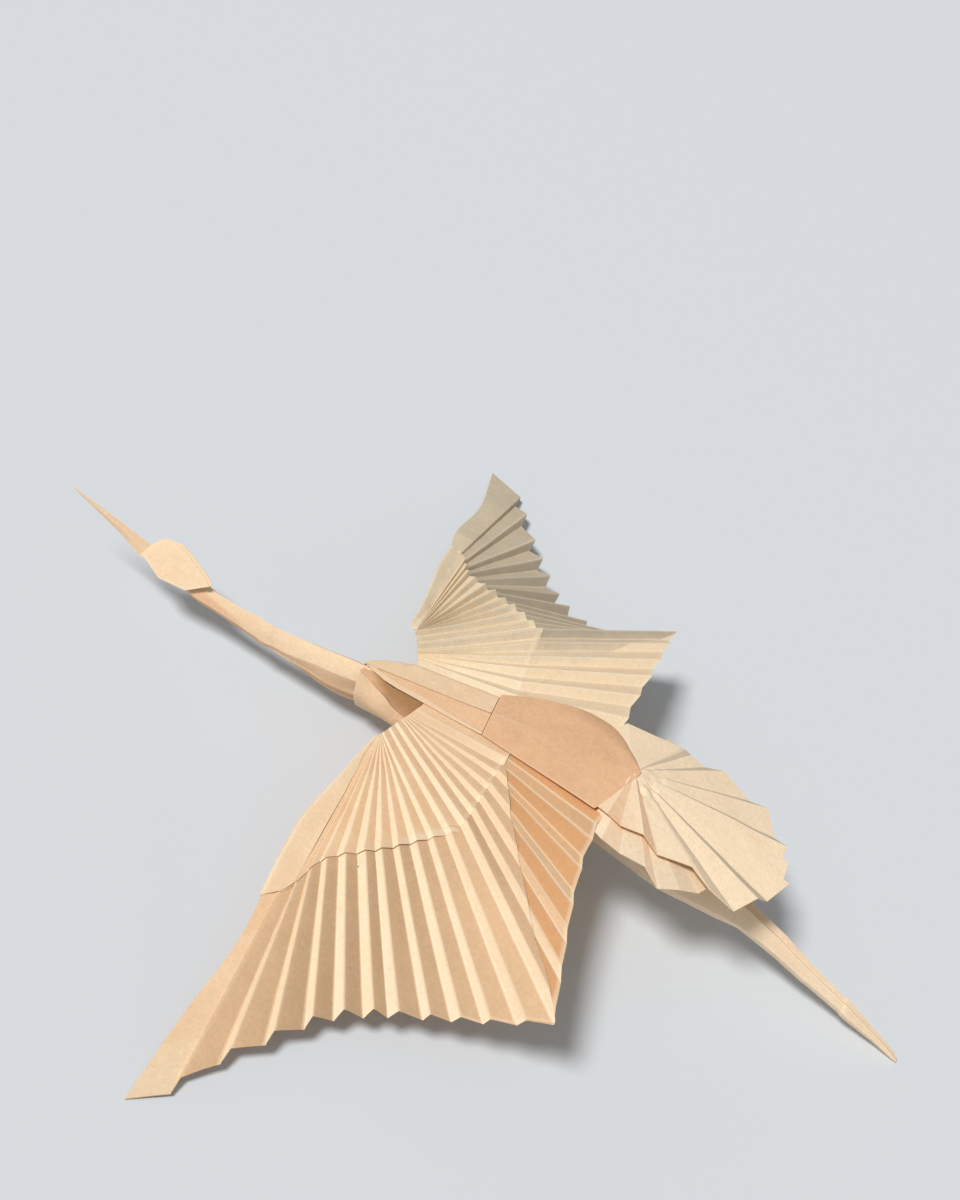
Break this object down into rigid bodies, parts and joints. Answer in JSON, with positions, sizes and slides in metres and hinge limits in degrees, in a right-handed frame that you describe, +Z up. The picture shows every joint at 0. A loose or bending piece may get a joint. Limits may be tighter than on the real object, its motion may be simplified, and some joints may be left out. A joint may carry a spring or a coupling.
{
  "type": "origami crane",
  "caption": "Crane folded from one sheet of paper, with pleated and crimped wings, a fan tail, a long neck and trailing legs; a display piece that rests on its wing tips and toes.",
  "frame": {"origin": "middle of the crane's bounding box, on the surface that its wing tips and toes rest on", "axes": "+X from the bill to the toes, +Y to the bird's right wing, +Z up"},
  "size_m": [0.346, 0.333, 0.0542],
  "materials": {
    "paper": "matte"
  },
  "bodies": {
    "root": {"crane": "paper"}
  },
  "joints": []
}
